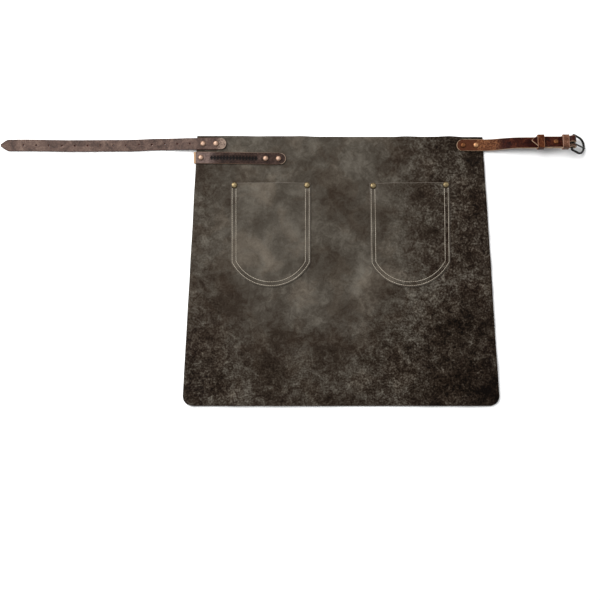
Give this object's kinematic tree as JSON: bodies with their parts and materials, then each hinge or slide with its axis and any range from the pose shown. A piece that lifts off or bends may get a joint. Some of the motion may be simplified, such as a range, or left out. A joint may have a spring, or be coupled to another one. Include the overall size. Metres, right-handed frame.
{
  "type": "waist apron",
  "caption": "Short leather waist apron laid flat: tapered panel, two patch pockets, punched strap, towel loop and buckle strap with keepers.",
  "frame": {"origin": "middle of the footprint, on the surface the apron lies on", "axes": "+X along the waist towards the buckle, +Y from the hem up to the waist edge, +Z out of the apron's face"},
  "size_m": [1.1372, 0.5272, 0.0297],
  "materials": {
    "panel_leather": "matt oiled leather, dark taupe to brown-black, marbled",
    "pocket_leather": "matt oiled leather, dark taupe, smooth",
    "hole_strap_leather": "matt bridle leather, dusty grey-brown",
    "towel_loop_leather": "oiled leather, dark mauve-brown",
    "buckle_strap_leather": "waxed leather, dark red-brown, cracked glaze",
    "keeper_leather": "leather, mid brown with light cut edges",
    "stitch_thread": "waxed cream thread",
    "antique_brass": "antique, darkened",
    "copper_rivet": "pale copper plate, satin",
    "buckle_wire": "black gunmetal plate, polished"
  },
  "bodies": {
    "apron": {"apron_panel": "panel_leather", "pocket_left": "pocket_leather", "pocket_right": "pocket_leather", "pocket_left_stitch_outer": "stitch_thread", "pocket_left_stitch_inner": "stitch_thread", "pocket_right_stitch_outer": "stitch_thread", "pocket_right_stitch_inner": "stitch_thread", "hole_strap": "hole_strap_leather", "towel_loop": "towel_loop_leather", "buckle_strap": "buckle_strap_leather", "pocket_left_left_rivet_cap": "antique_brass", "pocket_left_left_rivet_back": "antique_brass", "pocket_left_right_rivet_cap": "antique_brass", "pocket_left_right_rivet_back": "antique_brass", "pocket_right_left_rivet_cap": "antique_brass", "pocket_right_left_rivet_back": "antique_brass", "pocket_right_right_rivet_cap": "antique_brass", "pocket_right_right_rivet_back": "antique_brass", "hole_strap_rivet_1_cap": "copper_rivet", "hole_strap_rivet_1_back": "copper_rivet", "hole_strap_rivet_2_cap": "copper_rivet", "hole_strap_rivet_2_back": "copper_rivet", "towel_loop_rivet_1_cap": "copper_rivet", "towel_loop_rivet_1_back": "copper_rivet", "towel_loop_rivet_2_cap": "copper_rivet", "towel_loop_rivet_2_back": "copper_rivet", "towel_loop_rivet_3_cap": "copper_rivet", "towel_loop_rivet_3_back": "copper_rivet", "buckle_strap_rivet_1_cap": "copper_rivet", "buckle_strap_rivet_1_back": "copper_rivet", "buckle_strap_rivet_2_cap": "copper_rivet", "buckle_strap_rivet_2_back": "copper_rivet", "turn_back_rivet_cap": "antique_brass", "turn_back_rivet_back": "antique_brass"},
    "buckle_keeper": {"buckle_keeper": "keeper_leather"},
    "sliding_keeper": {"sliding_keeper": "keeper_leather"},
    "buckle_frame": {"buckle_frame": "buckle_wire"},
    "buckle_prong": {"buckle_prong": "buckle_wire"}
  },
  "joints": [
    {"name": "buckle_swing", "type": "hinge", "parent": "apron", "child": "buckle_frame", "pos_m": [0.53941, 0.24707, 0.0208], "axis": [-0.1664, -0.9581, 0.2333], "range_deg": [0, 62]},
    {"name": "prong_lift", "type": "hinge", "parent": "buckle_frame", "child": "buckle_prong", "pos_m": [0.53941, 0.24707, 0.0208], "axis": [-0.1664, -0.9581, 0.2333], "range_deg": [0, 66]},
    {"name": "sliding_keeper_slide", "type": "slide", "parent": "apron", "child": "sliding_keeper", "axis": [0.9994, -0.0017, 0.0349], "range_m": [-0.03, 0.017]},
    {"name": "buckle_keeper_slide", "type": "slide", "parent": "apron", "child": "buckle_keeper", "axis": [0.9994, -0.0017, 0.0349], "range_m": [-0.006, 0.0008]}
  ]
}
